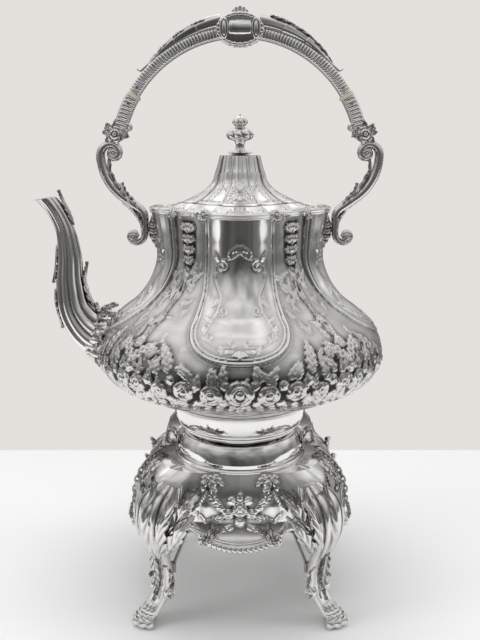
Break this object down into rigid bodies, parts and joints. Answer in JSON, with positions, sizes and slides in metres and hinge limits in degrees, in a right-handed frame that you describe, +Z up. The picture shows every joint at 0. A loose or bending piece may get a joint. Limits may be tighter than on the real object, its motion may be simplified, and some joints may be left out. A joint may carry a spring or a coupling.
{
  "type": "serving_kettle",
  "caption": "Lobed silver spirit kettle with hinged bell lid, fluted spout and fixed overhead handle, tipping on a four-legged burner stand.",
  "frame": {"origin": "centre of the whole object's plan, on the table", "axes": "+Z up; the spout points to -X; the lid's hinge is at +Y"},
  "size_m": [0.243, 0.2012, 0.4239],
  "materials": {
    "silver": "polished silver",
    "oxidised_silver": "darkened silver",
    "insulator": "bone-coloured heat insulator",
    "burner_brass": "worn brass",
    "wick_cotton": "woven cotton"
  },
  "bodies": {
    "stand": {"stand_body": "silver", "stand_collar": "silver", "apron_borders": "silver", "leg_front_right": "silver", "leg_front_left": "silver", "leg_back_right": "silver", "leg_back_left": "silver", "cradle_ring": "oxidised_silver", "cradle_rods": "oxidised_silver", "stand_lug_right": "silver", "stand_lug_left": "silver", "chain_right": "oxidised_silver", "chain_left": "oxidised_silver", "chain_eyes": "oxidised_silver"},
    "burner": {"lamp_font": "silver", "burner_collar": "burner_brass", "wick": "wick_cotton", "snuffer_bracket": "burner_brass"},
    "snuffer": {"snuffer_cap": "silver"},
    "kettle": {"kettle_shell": "silver", "kettle_foot": "silver", "rim_moulding": "silver", "rim_shells": "silver", "top_plate": "silver", "lid_seat": "silver", "spout": "silver", "spout_socket": "silver", "hinge_leaf": "silver", "hinge_pin": "silver", "handle_grip": "silver", "handle_crest": "silver", "cartouche": "silver", "handle_fan": "silver", "insulator_right": "insulator", "insulator_left": "insulator", "handle_stub_right": "silver", "handle_stub_left": "silver", "handle_arm_right": "silver", "handle_arm_left": "silver", "arm_bracket_right": "silver", "arm_bracket_left": "silver", "handle_flower_right": "silver", "handle_flower_left": "silver", "handle_pins": "silver", "kettle_lug_right": "silver", "kettle_lug_left": "silver"},
    "lid": {"lid": "silver", "lid_knuckle": "silver", "finial_disc": "silver", "finial": "silver", "finial_nut": "silver"},
    "right_pin": {"lock_pin_right": "silver"},
    "left_pin": {"lock_pin_left": "silver"}
  },
  "joints": [
    {"name": "lid_hinge", "type": "hinge", "parent": "kettle", "child": "lid", "pos_m": [0.02075, 0.0446, 0.2953], "axis": [-1, 0, 0], "range_deg": [0, 100]},
    {"name": "kettle_tilt", "type": "hinge", "parent": "stand", "child": "kettle", "pos_m": [-0.03025, 0, 0.1245], "axis": [0, -1, 0], "range_deg": [0, 40]},
    {"name": "right_pin_pull", "type": "slide", "parent": "stand", "child": "right_pin", "axis": [0, -1, 0], "range_m": [0, 0.018]},
    {"name": "left_pin_pull", "type": "slide", "parent": "stand", "child": "left_pin", "axis": [0, -1, 0], "range_m": [0, 0.018]},
    {"name": "burner_lift", "type": "slide", "parent": "stand", "child": "burner", "axis": [0, 0, 1], "range_m": [0, 0.025]},
    {"name": "snuffer_hinge", "type": "hinge", "parent": "burner", "child": "snuffer", "pos_m": [0.03085, 0, 0.0864], "axis": [0, 1, 0], "range_deg": [0, 110]}
  ]
}
